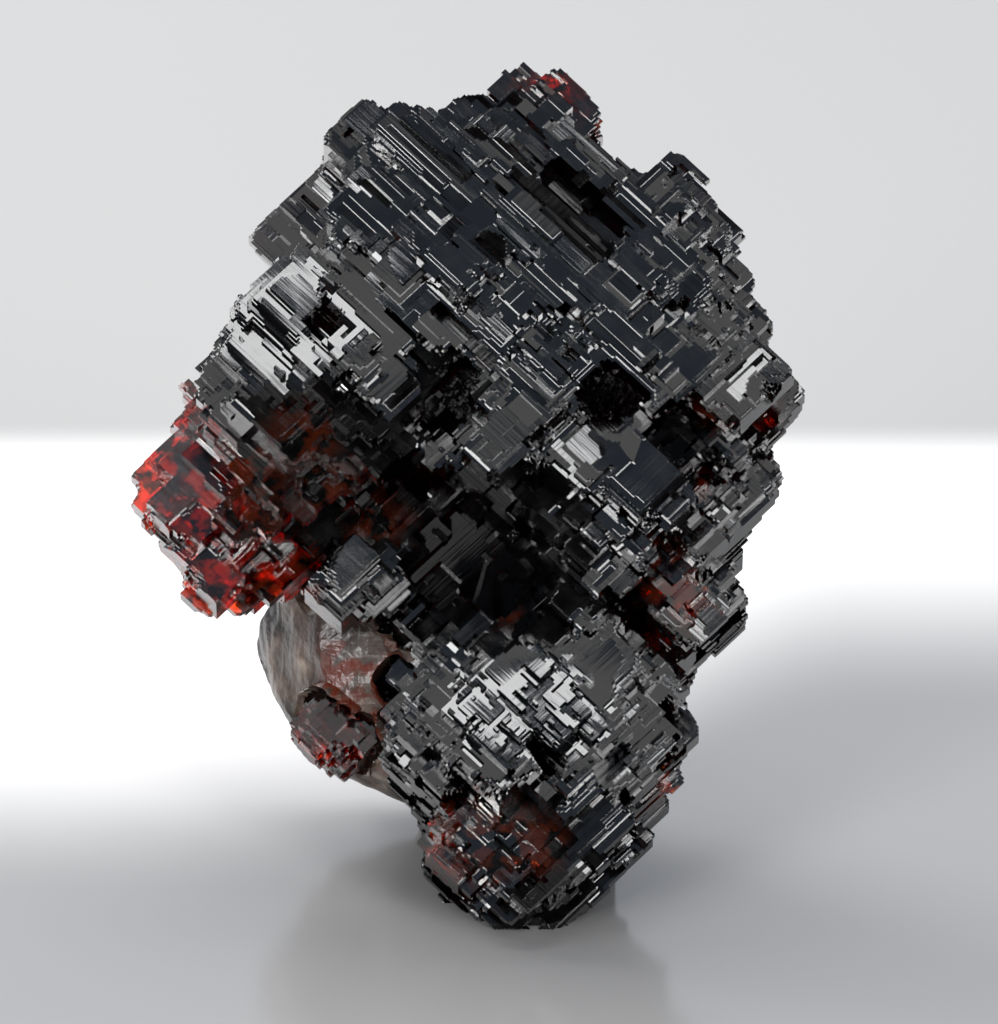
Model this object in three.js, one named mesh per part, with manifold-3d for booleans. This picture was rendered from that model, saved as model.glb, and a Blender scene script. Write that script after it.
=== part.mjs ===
// A mineral specimen: a mass of dark red garnet, etched into right-angled steps, grown with a lump of quartz.
// Millimetres. +Z is up, +X is to the right and +Y is to the back, seen from the front. The origin is the
// middle of the flat under the garnet's lower lobe, on the surface that the specimen stands on.
import * as THREE from "three";
import { ConvexGeometry } from "three/addons/geometries/ConvexGeometry.js";
import { mergeVertices } from "three/addons/utils/BufferGeometryUtils.js";
import Module from "manifold-3d";

const wasm = await Module();
wasm.setup();

// The outlines are drawn in the front view: x to the right, y up the view and z towards the viewer,
// who looks down on the specimen by LOOK_DOWN.
const LOOK_DOWN = THREE.MathUtils.degToRad(18);
// Every step has the edges of one crystal: its broad faces lean back from the viewer by CRYSTAL_LEAN,
// and its edges are turned by CRYSTAL_TURN in those faces.
const CRYSTAL_LEAN = THREE.MathUtils.degToRad(22);
const CRYSTAL_TURN = THREE.MathUtils.degToRad(-45);

const SPLIT_SPREAD = 0.3; // how far from the middle a block is split, as a share of its length
const BLOCK_JITTER = 1.0; // how far a block may stand proud of the smooth form, or short of it
const BLOCK_CORNERS = 1.0; // how far the corners of the blocks stand out of the smooth form
const RIM = { width: 1.8, finer: 0.6 }; // blocks this near the outline are smaller by that share
const BACK = { behind: -5, coarser: 1.9 }; // blocks of the hidden side are larger
const MERGE = 1e-4; // corners nearer than this are one corner
const SNAP = 0.1; // faces lie on planes this far apart, so that none nearly meet
const OVERLAP = 0.02; // blocks overlap by this, so that two that share only an edge still join
const GAP = 0.3; // between garnet and quartz

const ROOM = { low: [-46, -2, -32], high: [12, 56, 34] }; // crystal frame, holds all the garnet

// A pad is a rounded slab: an outline in the front view, thickest in the middle and thin at its edge.
// middle is z there, lean is how much z grows for each mm up from leanFrom, half is half its thickness,
// and round is how far in from the outline it reaches that thickness. block is the size of its steps:
// along the edges that run down to the right, along those that run up to the right, and across them.
const GARNET_PADS = [
  {
    name: "crown",
    outline: [
      [-9.2, 56], [-6.5, 56.2], [-3.5, 56.2], [0, 55.5], [5.5, 55], [8.5, 51.5], [14, 48.5], [15, 45], [16.5, 43],
      [18, 39], [19.5, 35.5], [18, 33], [17, 28.5], [15.5, 21.5], [13.5, 17.5], [8.5, 19], [3, 27], [-5, 28.5],
      [-7, 34], [-15, 35.5], [-20.6, 39.8], [-18.3, 43.4], [-14.4, 48.8], [-12.4, 52.3],
    ],
    middle: -1, lean: -0.3, leanFrom: 38, half: 11.5, round: 13, block: [4.8, 3.3, 2.2],
  },
  {
    name: "top knob",
    outline: [[-4.5, 56.5], [-1.5, 58.4], [1.6, 60.4], [4, 59.7], [6.5, 56.4], [6, 54], [3.5, 50], [-1.5, 50]],
    middle: -9, lean: 0, leanFrom: 0, half: 4.5, round: 2.5, block: [2.9, 2.5, 2.3],
  },
  {
    name: "right knob",
    outline: [[7.3, 48], [9.5, 51.2], [11.2, 52.5], [13, 51.5], [14.6, 49], [15, 45], [12.5, 41], [9, 42]],
    middle: -4, lean: 0, leanFrom: 0, half: 6, round: 3, block: [3, 2.5, 2.3],
  },
  {
    name: "left shoulder",
    outline: [
      [-15.5, 46.5], [-11.5, 45], [-6.5, 40.5], [-5, 35.5], [-6, 31], [-8.5, 29], [-12, 29.5], [-14.5, 27],
      [-16, 25.5], [-19.5, 25], [-21, 26], [-20.5, 29], [-23, 33], [-21, 40],
    ],
    middle: 3, lean: -0.1, leanFrom: 38, half: 7.5, round: 6, block: [2.9, 2.9, 1.9],
  },
  {
    name: "left rim",
    outline: [
      [-15, 46], [-19.4, 43.9], [-22.8, 37.9], [-25.9, 32.2], [-27.3, 30.2], [-27, 27.7], [-25.3, 23], [-23, 20.8],
      [-20.5, 19.7], [-18, 20], [-14, 23], [-13, 35.5],
    ],
    middle: -4, lean: 0, leanFrom: 0, half: 3.2, round: 2.5, block: [3, 3, 1.9],
  },
  {
    name: "right mass",
    outline: [
      [-5, 30.5], [1.5, 36.5], [7, 39.5], [14, 33.5], [14, 24.5], [11.5, 20], [7, 21], [3, 21.5], [0.5, 24.5],
      [-1.5, 28],
    ],
    middle: 3.5, lean: 0, leanFrom: 0, half: 6.5, round: 5, block: [3.6, 3.6, 2.3],
  },
  {
    name: "wall behind the hollow",
    outline: [
      [-20, 34], [-8, 41], [3, 39], [14, 30], [14, 17.5], [7, 10.5], [-3, 8], [-8.5, 12], [-9.5, 19], [-17, 24],
    ],
    middle: -8, lean: 0, leanFrom: 0, half: 4.5, round: 4, block: [4.4, 4.4, 3.4],
  },
  {
    name: "block in the hollow",
    outline: [[-14.5, 24.5], [-12, 26.5], [-8.5, 26], [-6, 24], [-9, 21.5], [-11.5, 20], [-14, 21.5]],
    middle: -3.5, lean: 0, leanFrom: 0, half: 4.5, round: 1.5, block: [3.4, 3.4, 2.4],
  },
  {
    name: "lower lobe",
    outline: [
      [-10.5, 13.5], [-9.5, 15.5], [-5.5, 18.5], [-1.5, 20.5], [3, 22], [8.5, 21], [12.5, 19], [12, 12],
      [11.5, 9.5], [10.5, 6], [8.5, 3.5], [7, 2], [5, 1], [3, -0.5], [-1, -1], [-4.6, -0.2], [-5.6, 0.8], [-8.4, 4.7],
      [-7.2, 6.5], [-9.5, 9.5],
    ],
    middle: 0, lean: -0.15, leanFrom: 10, half: 9.5, round: 8, block: [3.6, 3.6, 2.1],
  },
];

// Small garnets grown together in the edge of the quartz: [x, y, z, radius, turn in degrees].
const GRAINS = [
  [-13.4, 12.6, -8.6, 2.9, 20],
  [-12.3, 10.9, -8.9, 2.0, 65],
  [-10.9, 12, -7.3, 1.5, 40],
];

// Pits with square corners, cut into the front: [x, y, half lengths along both edges, depth].
const PITS = [
  [4.2, 49, 3.6, 1.4, 4],
  [6.3, 36, 2.7, 2.3, 4.5],
  [3, 40.7, 0.9, 0.9, 2],
  [12.4, 30.3, 1.2, 1.9, 2.5],
  [16.9, 34.5, 0.9, 0.9, 1.5],
  [10.2, 24.5, 1.4, 2.3, 3],
  [-4.8, 35.5, 1.4, 2.8, 4],
  [-13.1, 41.4, 1.3, 1.1, 3],
  [1.7, 11, 2.2, 1.2, 2.5],
  [-1.4, 5.5, 3, 1.8, 2.5],
];

// Ledges that stand out of the front: [x, y, half lengths along both edges, height].
const LEDGES = [
  [-7, 52.4, 3.4, 0.6, 1.1],
  [-2.6, 51.6, 6, 0.7, 0.9],
  [-9.5, 48.5, 1.1, 3.2, 0.7],
  [1, 34.8, 1.7, 6.4, 1.6],
  [14.6, 36.6, 2.2, 3.2, 1.2],
  [8.3, 30, 3.2, 2.3, 1.1],
  [-0.3, 14.5, 3.5, 3.7, 0.9],
  [-16.5, 42.3, 1.7, 3, 0.9],
  [-10, 32, 2.2, 1.4, 1],
  [9, 12, 1.6, 3, 0.8],
];
// The corner of the crystal that the specimen stands on, around the origin.
const STANDING_CORNER = [[-2.6, -2.6, -3], [2.6, 2.6, 2.2]];
const LEDGE_ROOT = 3; // how deep a ledge reaches into the crystal
const PIT_OPEN = 9; // how far above a pit the way out is kept clear

const QUARTZ_PADS = [
  {
    name: "quartz body",
    outline: [
      [-20.5, 22], [-15, 26], [-6, 25], [2, 18], [6, 11], [3, 5], [-6.5, 6.2], [-9.8, 7.4], [-13, 8.8],
      [-15.6, 11], [-17.6, 14.2], [-19.6, 17.6],
    ],
    middle: -14.5, lean: 0.1, leanFrom: 14, half: 8.5, round: 5,
  },
  {
    name: "quartz foot",
    outline: [[-7.5, 7], [-6, 12], [5, 13], [8, 8], [7, 1], [-4, 1]],
    middle: -17.5, lean: 0, leanFrom: 0, half: 5.5, round: 3,
  },
];
const QUARTZ_HEART = new THREE.Vector3(-5.5, 12.5, -16); // its surface is found outwards from here
const QUARTZ_DETAIL = 5;
const QUARTZ_FLATS = 19; // broken faces
const QUARTZ_CHIP = 0.16; // how much of its reach a broken face may take off
const QUARTZ_REACH = 26;
const QUARTZ_STEP = 0.1;
const GOLDEN_ANGLE = Math.PI * (3 - Math.sqrt(5));

// Where a crystal's broad faces lean otherwise than the rest: [x, y, radius, slope along x, slope along y].
const LEANS = [
  [1.5, 14.5, 5, 0.02, -0.2],
  [-16, 42, 5, -0.12, -0.16],
  [11, 32, 8, 0.08, 0.05],
];

const viewToWorld = new THREE.Matrix4().makeRotationX(Math.PI / 2 - LOOK_DOWN);
const crystalToView = new THREE.Matrix4().makeRotationFromEuler(
  new THREE.Euler(-CRYSTAL_LEAN, 0, CRYSTAL_TURN, "XYZ"),
);
const viewToCrystal = crystalToView.clone().invert();

// Distance from (x, y) to a closed outline, positive inside it.
function insideBy(outline, x, y) {
  let nearest = Infinity;
  let inside = false;
  outline.forEach(([ax, ay], i) => {
    const [bx, by] = outline[(i + 1) % outline.length];
    const along = ((x - ax) * (bx - ax) + (y - ay) * (by - ay)) / ((bx - ax) ** 2 + (by - ay) ** 2);
    const t = Math.min(1, Math.max(0, along));
    nearest = Math.min(nearest, Math.hypot(x - ax - t * (bx - ax), y - ay - t * (by - ay)));
    if (ay > y !== by > y && x < ax + ((y - ay) / (by - ay)) * (bx - ax)) inside = !inside;
  });
  return inside ? nearest : -nearest;
}

// The pad that a point of the front view lies deepest in, how deep that is (negative outside all of them)
// and how far inside of the pads' outlines it is.
function lookUp(pads, [x, y, z], corners) {
  const found = { depth: -Infinity, edge: -Infinity, pad: null };
  for (const pad of pads) {
    const edge = insideBy(pad.outline, x, y) - corners;
    const share = Math.min(Math.max(edge, 0), pad.round) / pad.round;
    const half = pad.half * Math.sqrt(1 - (1 - share) ** 2);
    const middle = pad.middle + pad.lean * Math.max(0, y - pad.leanFrom);
    const depth = Math.min(half - Math.abs(z - middle), 1.5 * edge);
    found.edge = Math.max(found.edge, edge);
    if (depth > found.depth) {
      found.depth = depth;
      found.pad = pad;
    }
  }
  return found;
}

const snap = (n) => Math.round(n / SNAP) * SNAP;

// A whole number below 2^32 that follows from another, so that each block has its own fixed chance.
function scramble(n) {
  let h = Math.imul(n ^ (n >>> 16), 0x45d9f3b);
  h = Math.imul(h ^ (h >>> 16), 0x45d9f3b);
  return (h ^ (h >>> 16)) >>> 0;
}
const chance = (n) => scramble(n) / 2 ** 32;

// Splits a box of the crystal at uneven places until its pieces are as small as the steps of the pad they are in,
// and adds those that lie in the pads to the blocks.
function splitInto(blocks, pads, low, high, seed) {
  const length = high.map((h, k) => h - low[k]);
  const middle = new THREE.Vector3(...low).add(new THREE.Vector3(...high)).multiplyScalar(0.5);
  middle.applyMatrix4(crystalToView);
  const { depth, edge, pad } = lookUp(pads, middle.toArray(), BLOCK_CORNERS);
  const reach = Math.hypot(...length) / 2;
  if (depth < -1.5 * reach - 1) return;
  if (depth > 1.5 * reach + 1) {
    blocks.push([low, high]);
    return;
  }
  const inside = middle.z < BACK.behind ? BACK.coarser : 1;
  const share = Math.abs(edge) < RIM.width ? RIM.finer : inside;
  const ratio = length.map((l, k) => l / (pad.block[k] * share));
  const axis = ratio.indexOf(Math.max(...ratio));
  if (ratio[axis] < 1.5) {
    if (depth + BLOCK_JITTER * (chance(seed + 1) - 0.5) > 0) blocks.push([low, high]);
    return;
  }
  const cut = snap(low[axis] + length[axis] * (0.5 + SPLIT_SPREAD * (chance(seed + 2) - 0.5)));
  const cutHigh = high.map((h, k) => (k === axis ? cut : h));
  const cutLow = low.map((l, k) => (k === axis ? cut : l));
  splitInto(blocks, pads, low, cutHigh, scramble(seed + 3));
  splitInto(blocks, pads, cutLow, high, scramble(seed + 4));
}

function blocksIn(pads, seed) {
  const blocks = [];
  splitInto(blocks, pads, ROOM.low, ROOM.high, seed);
  return blocks;
}

// The place in the crystal where its front surface lies at (x, y) of the front view.
function frontAt(x, y) {
  const point = new THREE.Vector3(x, y, ROOM.high[2]);
  while (lookUp(GARNET_PADS, point.toArray(), BLOCK_CORNERS).depth < 0) point.z -= 0.25;
  return point.applyMatrix4(viewToCrystal).toArray();
}

// A box of the crystal around its front surface at (x, y), from so far below it to so far above it.
function boxAt([x, y, alongDown, alongUp], below, above) {
  const [u, v, w] = frontAt(x, y);
  const low = [u - alongDown, v - alongUp, w - below];
  const high = [u + alongDown, v + alongUp, w + above];
  return [low.map((n) => snap(n) + SNAP / 2), high.map((n) => snap(n) + SNAP / 2)];
}

function solidOf(geometry) {
  geometry.deleteAttribute("normal");
  geometry.deleteAttribute("uv");
  const merged = mergeVertices(geometry, MERGE);
  const triVerts = new Uint32Array(merged.index.array);
  const vertProperties = merged.attributes.position.array;
  return new wasm.Manifold(new wasm.Mesh({ numProp: 3, vertProperties, triVerts }));
}

function geometryOf(solid) {
  const mesh = solid.getMesh();
  const geometry = new THREE.BufferGeometry();
  geometry.setAttribute("position", new THREE.BufferAttribute(new Float32Array(mesh.vertProperties), 3));
  geometry.setIndex(new THREE.BufferAttribute(mesh.triVerts, 1));
  return geometry;
}

// The largest body of a solid, without loose crumbs and sealed pockets.
function mainBody(solid) {
  return solid.decompose().reduce((a, b) => (b.volume() > a.volume() ? b : a));
}

function boxBetween(low, high, spare) {
  const size = high.map((h, k) => h - low[k] + 2 * spare);
  const geometry = new THREE.BoxGeometry(...size);
  return geometry.translate(...low.map((l, k) => (l + high[k]) / 2));
}

// How far the crystal's leans push a point of the front view towards the viewer.
function leanAt(x, y) {
  return LEANS.reduce((sum, [cx, cy, radius, alongX, alongY]) => {
    const fade = Math.exp(-((x - cx) ** 2 + (y - cy) ** 2) / radius ** 2);
    return sum + fade * (alongX * (x - cx) + alongY * (y - cy));
  }, 0);
}

// A small garnet has twelve faces, each a diamond: the hull of a cube's corners and six tips.
function grainSolid([x, y, z, radius, turn], spare) {
  const half = (radius + spare) / 2;
  const corners = [];
  for (const a of [-half, half]) {
    for (const b of [-half, half]) corners.push(...[-half, half].map((c) => new THREE.Vector3(a, b, c)));
    corners.push(new THREE.Vector3(2 * a, 0, 0), new THREE.Vector3(0, 2 * a, 0), new THREE.Vector3(0, 0, 2 * a));
  }
  const geometry = new ConvexGeometry(corners);
  geometry.rotateX(THREE.MathUtils.degToRad(turn)).rotateY(THREE.MathUtils.degToRad(turn / 2));
  return solidOf(geometry.translate(x, y, z).applyMatrix4(viewToWorld));
}

function unionOf(blocks, spare) {
  return wasm.Manifold.union(blocks.map(([low, high]) => solidOf(boxBetween(low, high, spare))));
}

// Takes a solid of crystal blocks, with the crystal's leans, from the crystal to where it stands.
function crystalStanding(solid) {
  const geometry = geometryOf(mainBody(solid)).applyMatrix4(crystalToView);
  const place = geometry.attributes.position;
  for (let i = 0; i < place.count; i += 1) {
    place.setZ(i, place.getZ(i) + leanAt(place.getX(i), place.getY(i)));
  }
  return solidOf(geometry.applyMatrix4(viewToWorld));
}

// Cuts a solid off flat at the surface that it stands on.
function flattened(solid) {
  const ground = new THREE.BoxGeometry(200, 200, 50).translate(0, 0, -25);
  return mainBody(solid.subtract(solidOf(ground)));
}

// How far the quartz reaches from its heart in one direction.
function quartzReach(direction) {
  const point = new THREE.Vector3();
  let reach = QUARTZ_REACH;
  do {
    reach -= QUARTZ_STEP;
    point.copy(QUARTZ_HEART).addScaledVector(direction, reach);
  } while (reach > QUARTZ_STEP && lookUp(QUARTZ_PADS, point.toArray(), 0).depth < 0);
  return reach;
}

// A lump of quartz: round by its pads, cut off by flat broken faces that are spread all around it.
function quartzLump() {
  const round = new THREE.IcosahedronGeometry(1, QUARTZ_DETAIL);
  round.deleteAttribute("normal");
  round.deleteAttribute("uv");
  const geometry = mergeVertices(round, MERGE);
  const place = geometry.attributes.position;
  const points = Array.from({ length: place.count }, (_, i) => {
    const direction = new THREE.Vector3().fromBufferAttribute(place, i).normalize();
    return direction.multiplyScalar(quartzReach(direction));
  });
  for (let i = 0; i < QUARTZ_FLATS; i += 1) {
    const height = 1 - (2 * i + 1) / QUARTZ_FLATS;
    const around = GOLDEN_ANGLE * i;
    const normal = new THREE.Vector3(Math.cos(around), Math.sin(around), 0);
    normal.multiplyScalar(Math.sqrt(1 - height ** 2)).setZ(height);
    const farthest = Math.max(...points.map((p) => p.dot(normal)));
    const flat = farthest * (1 - QUARTZ_CHIP * chance(i + 11));
    points.forEach((p) => p.multiplyScalar(Math.min(1, flat / Math.max(p.dot(normal), 0.01))));
  }
  points.forEach((p, i) => place.setXYZ(i, ...p.add(QUARTZ_HEART).toArray()));
  return solidOf(geometry.applyMatrix4(viewToWorld));
}

const ledges = LEDGES.map((ledge) => boxAt(ledge, LEDGE_ROOT, ledge[4]));
const pits = PITS.map((pit) => boxAt(pit, pit[4], PIT_OPEN));
const garnetBlocks = [...blocksIn(GARNET_PADS, 7), ...ledges, STANDING_CORNER];
const garnetBody = crystalStanding(unionOf(garnetBlocks, OVERLAP).subtract(unionOf(pits, 0)));
const garnetRoom = crystalStanding(unionOf(garnetBlocks, GAP));
const grainBody = mainBody(wasm.Manifold.union(GRAINS.map((g) => grainSolid(g, 0))).subtract(garnetRoom));
const grainRoom = wasm.Manifold.union(GRAINS.map((g) => grainSolid(g, GAP)));
const quartzBody = mainBody(quartzLump().subtract(garnetRoom).subtract(grainRoom));

const garnetRed = new THREE.MeshStandardMaterial({ color: 0x2a2424, roughness: 0.18, metalness: 0 });
const grainRed = new THREE.MeshStandardMaterial({ color: 0x6e1c0c, roughness: 0.25, metalness: 0 });
const quartzGrey = new THREE.MeshStandardMaterial({ color: 0xb3aaa2, roughness: 0.35, metalness: 0 });

function piece(name, solid, material) {
  const mesh = new THREE.Mesh(geometryOf(solid), material);
  mesh.name = name;
  return mesh;
}

const specimen = new THREE.Group();
specimen.add(piece("garnet", flattened(garnetBody), garnetRed));
specimen.add(piece("garnet_grain", flattened(grainBody), grainRed));
specimen.add(piece("quartz", flattened(quartzBody), quartzGrey));

export default specimen;
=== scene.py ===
"""Looks of a garnet and quartz specimen, about 55 mm tall: etched dark red garnet grown on milky quartz."""

import math
import random

import bmesh
import bpy
import numpy as np
from mathutils import Matrix, Vector


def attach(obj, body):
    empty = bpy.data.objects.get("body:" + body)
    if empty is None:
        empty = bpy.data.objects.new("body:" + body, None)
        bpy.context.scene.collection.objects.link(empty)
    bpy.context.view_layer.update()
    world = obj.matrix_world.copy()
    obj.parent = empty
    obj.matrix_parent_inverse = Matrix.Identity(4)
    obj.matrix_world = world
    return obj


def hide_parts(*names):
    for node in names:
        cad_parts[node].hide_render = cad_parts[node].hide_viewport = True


MM = 0.001
# The smooth field of a crystal is 1 deep inside and 0 far outside. These are values of it.
INSIDE = 0.97  # above this a place is plainly inside
OUTSIDE = 0.03  # below this it is plainly outside
DEEP = 0.94  # mean of a block where no pit may reach it
FULL_BLOCK = 0.25  # least field of a cell in a block that is kept
BARE_BLOCK = 0.8  # and in one that broke off
CROWN_ABOVE = 36  # mm up the view
THICK_ABOVE = 33  # mm up the view; the garnet is thick there, so pits may be deep
GROUND_BAND = 0.3  # mm; what is lower than this repeats the outline at this height
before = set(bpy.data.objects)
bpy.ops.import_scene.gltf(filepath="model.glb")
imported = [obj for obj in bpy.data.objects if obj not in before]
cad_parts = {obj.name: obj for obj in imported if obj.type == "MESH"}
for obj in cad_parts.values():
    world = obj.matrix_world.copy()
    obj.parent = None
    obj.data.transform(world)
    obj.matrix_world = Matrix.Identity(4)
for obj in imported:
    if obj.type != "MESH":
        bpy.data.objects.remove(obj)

# Front view, in mm: x to the right, y up the view and z towards the viewer, who looks down by LOOK_DOWN.
LOOK_DOWN = math.radians(18)
# The crystal's broad faces lean back by CRYSTAL_LEAN and its edges are turned by CRYSTAL_TURN in them.
CRYSTAL_LEAN = math.radians(22)
CRYSTAL_TURN = math.radians(-45)
VIEW_TO_WORLD = np.array(Matrix.Rotation(math.pi / 2 - LOOK_DOWN, 3, "X"))
CRYSTAL_TO_VIEW = np.array(
    Matrix.Rotation(-CRYSTAL_LEAN, 3, "X") @ Matrix.Rotation(CRYSTAL_TURN, 3, "Z")
)
# Where broad faces lean otherwise than the rest: x, y, radius, slope along x, slope along y.
LEANS = [
    (1.5, 14.5, 5, 0.02, -0.2),
    (-16, 42, 5, -0.12, -0.16),
    (11, 32, 8, 0.08, 0.05),
]

# Where the broad faces are etched a little askew as a whole: x, y, radius, and how much they turn to the
# right and up the view.
SLANTS = [
    (3, 53, 17, 0, -0.16),
    (-0.3, 13.4, 4.8, 0, 0.15),
    (-16.5, 41, 4.6, -0.04, 0.16),
    (-13.5, 30.5, 6.4, 0, -0.5),
    (-2, 24.5, 6.6, 0, -0.5),
    (-23, 26, 5.6, 0, -0.08),
    (4.4, 48.6, 2.6, 0, -0.34),
    (6.3, 35.8, 2.2, 0, -0.5),
    (11.2, 32, 2.4, 0, -0.5),
    (1.5, 29.2, 2, 0, 0.3),
    (2, 3, 6, 0, -0.18),
    (3, 0.6, 3.4, 0, -0.36),
    (7.5, 27, 4, 0, -0.16),
    (-5.4, 36.2, 2.6, 0, -0.5),
]


def lean_at(x, y):
    """How far the leans push the surface towards the viewer, and the two slopes of that push."""
    push, slope_x, slope_y = np.zeros_like(x), np.zeros_like(x), np.zeros_like(x)
    for cx, cy, radius, along_x, along_y in LEANS:
        dx, dy = x - cx, y - cy
        fade = np.exp(-(dx**2 + dy**2) / radius**2)
        tilt = along_x * dx + along_y * dy
        push += fade * tilt
        slope_x += fade * (along_x - 2 * dx / radius**2 * tilt)
        slope_y += fade * (along_y - 2 * dy / radius**2 * tilt)
    return push, slope_x, slope_y


def to_crystal(world):
    """World places in mm to the crystal's own straight axes."""
    view = world @ VIEW_TO_WORLD
    view[:, 2] -= lean_at(view[:, 0], view[:, 1])[0]
    return view @ CRYSTAL_TO_VIEW


def to_world(crystal):
    """Places on the crystal's own straight axes to world places in mm."""
    view = crystal @ CRYSTAL_TO_VIEW.T
    view[:, 2] += lean_at(view[:, 0], view[:, 1])[0]
    return view @ VIEW_TO_WORLD.T


def mesh_arrays(mesh):
    """Corner places in mm and triangles of a mesh."""
    places = np.zeros(len(mesh.vertices) * 3)
    mesh.vertices.foreach_get("co", places)
    mesh.calc_loop_triangles()
    triangles = np.zeros(len(mesh.loop_triangles) * 3, int)
    mesh.loop_triangles.foreach_get("vertices", triangles)
    return places.reshape(-1, 3) / MM, triangles.reshape(-1, 3)


class Crystal:
    """A solid made of small cells along the axes of the crystal."""

    def __init__(self, node, cell, seed):
        self.cell = cell
        self.chance = random.Random(seed)
        places, triangles = mesh_arrays(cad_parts[node].data)
        places = to_crystal(places)
        room = 8 * cell
        self.low = places.min(0) - room
        self.count = np.ceil((places.max(0) + room - self.low) / cell).astype(int)
        self.solid = self.filled(places, triangles)

    def filled(self, places, triangles):
        """Cells whose middle lies inside a closed mesh: each column flips where it goes through a face."""
        off_corners = 0.0137  # cells; keeps the columns off the corners of the faces
        flips = np.zeros(tuple(self.count + [0, 0, 1]), np.int16)
        scaled = (places - self.low) / self.cell - 0.5 + off_corners
        for corners in scaled[triangles]:
            (ax, ay, az), (bx, by, bz), (cx, cy, cz) = corners
            area = (bx - ax) * (cy - ay) - (by - ay) * (cx - ax)
            if abs(area) < 1e-6:
                continue
            i = np.arange(math.ceil(min(ax, bx, cx)), math.floor(max(ax, bx, cx)) + 1)
            j = np.arange(math.ceil(min(ay, by, cy)), math.floor(max(ay, by, cy)) + 1)
            if not len(i) or not len(j):
                continue
            x, y = np.meshgrid(i, j, indexing="ij")
            s = ((x - ax) * (cy - ay) - (y - ay) * (cx - ax)) / area
            t = ((bx - ax) * (y - ay) - (by - ay) * (x - ax)) / area
            inside = (s >= 0) & (t >= 0) & (s + t <= 1)
            z = az + s * (bz - az) + t * (cz - az)
            k = np.clip(np.floor(z).astype(int) + 1, 0, self.count[2])
            np.add.at(flips, (x[inside], y[inside], k[inside]), 1)
        return np.cumsum(flips, axis=2)[:, :, :-1] % 2 == 1

    def middle(self, index):
        """View place of the middle of a cell."""
        return CRYSTAL_TO_VIEW @ (self.low + (np.asarray(index) + 0.5) * self.cell)

    def blurred(self, width):
        """The solid as a smooth field, 1 deep inside and 0 far outside."""
        field = self.solid.astype(np.float32)
        half = max(1, round(width / self.cell))
        for _ in range(2):
            for axis in range(3):
                field = np.moveaxis(field, axis, 0)
                before = np.zeros((half + 1, *field.shape[1:]), np.float32)
                after = np.zeros((half, *field.shape[1:]), np.float32)
                padded = np.concatenate([before, field, after])
                total = np.cumsum(padded, axis=0, dtype=np.float32)
                field = (total[2 * half + 1:] - total[: -2 * half - 1]) / (2 * half + 1)
                field = np.moveaxis(field, 0, axis)
        return field

    def split(self, low, high, leaf, loose):
        """Splits a box of cells at uneven places and keeps each small block that is mostly inside."""
        stack = [(low, high)]
        field, solid, chance = self.field, self.solid, self.chance
        self.heart = self.field > INSIDE
        while stack:
            (a, b, c), (d, e, f) = stack.pop()
            part = field[a:d, b:e, c:f]
            if part.min() > INSIDE or part.max() < OUTSIDE:
                continue
            middle = ((a + d) / 2, (b + e) / 2, (c + f) / 2)
            sizes = leaf(*self.middle(middle))
            ratio = ((d - a) / sizes[0], (e - b) / sizes[1], (f - c) / sizes[2])
            axis = ratio.index(max(ratio))
            length = (d - a, e - b, f - c)[axis]
            small_enough = ratio[axis] < 1.5 or length < 2
            if small_enough:
                mean = part.mean()
                keep = mean + loose * (chance.random() - 0.5) > 0.5
                solid[a:d, b:e, c:f] = part > (FULL_BLOCK if keep else BARE_BLOCK)
                self.heart[a:d, b:e, c:f] = mean > DEEP
                continue
            share = chance.uniform(0.3, 0.7)
            cut = (a, b, c)[axis] + max(1, min(length - 1, round(length * share)))
            first, second = [d, e, f], [a, b, c]
            first[axis] = second[axis] = cut
            stack.append(((a, b, c), tuple(first)))
            stack.append((tuple(second), (d, e, f)))

    def front(self, x, y):
        """Cell index of the surface that the viewer sees at (x, y) of the front view."""
        nearest, farthest = 30, -40
        for z in np.arange(nearest, farthest, -self.cell / 2):
            index = ((CRYSTAL_TO_VIEW.T @ (x, y, z) - self.low) / self.cell).astype(int)
            if (index >= 0).all() and (index < self.count).all() and self.solid[tuple(index)]:
                return index
        return None

    def fill(self, low, high, value, least=0.0, deep=False):
        """Fills a box of cells where the field is above least, or empties it, but its heart only if deep."""
        a, b, c = np.maximum(np.asarray(low), 1)
        d, e, f = np.minimum(np.asarray(high), self.count - 1)
        if value:
            self.solid[a:d, b:e, c:f] |= self.field[a:d, b:e, c:f] > least
        elif deep:
            self.solid[a:d, b:e, c:f] = False
        else:
            self.solid[a:d, b:e, c:f] &= self.heart[a:d, b:e, c:f]

    def stairs(self, at, half, height, treads, root, least=0.0, deep=False):
        """A ledge (or a pit, if height is negative) whose two lower sides go down in narrow treads."""
        low = [round(at[axis] - half[axis]) for axis in (0, 1)]
        high = [max(round(at[axis] + half[axis]), low[axis] + 1) for axis in (0, 1)]
        layers = max(1, abs(height))
        clearance = 10  # cells that a pit is opened above the surface
        for layer in range(layers):
            inset = round(layer * treads)
            if height > 0:
                if high[0] - inset <= low[0] or low[1] + inset >= high[1]:
                    break
                foot = (low[0], low[1] + inset, at[2] - root)
                self.fill(foot, (high[0] - inset, high[1], at[2] + layer + 2), True, least)
            else:
                if low[0] + inset >= high[0] or low[1] >= high[1] - inset:
                    break
                floor = (low[0] + inset, low[1], at[2] - layer)
                self.fill(floor, (high[0], high[1] - inset, at[2] + clearance), False, deep=deep)

    def ledge(self, x, y, down, up, height, treads=0.0, root=2.0, least=0.15):
        """A straight-edged ledge or pit on the front: half lengths down the right and up the right, in mm."""
        at = self.front(x, y)
        if at is not None:
            half = (down / self.cell, up / self.cell)
            rise, foot = round(height / self.cell), round(root / self.cell)
            self.stairs(at, half, rise, treads, foot, least, y > THICK_ABOVE)

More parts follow.
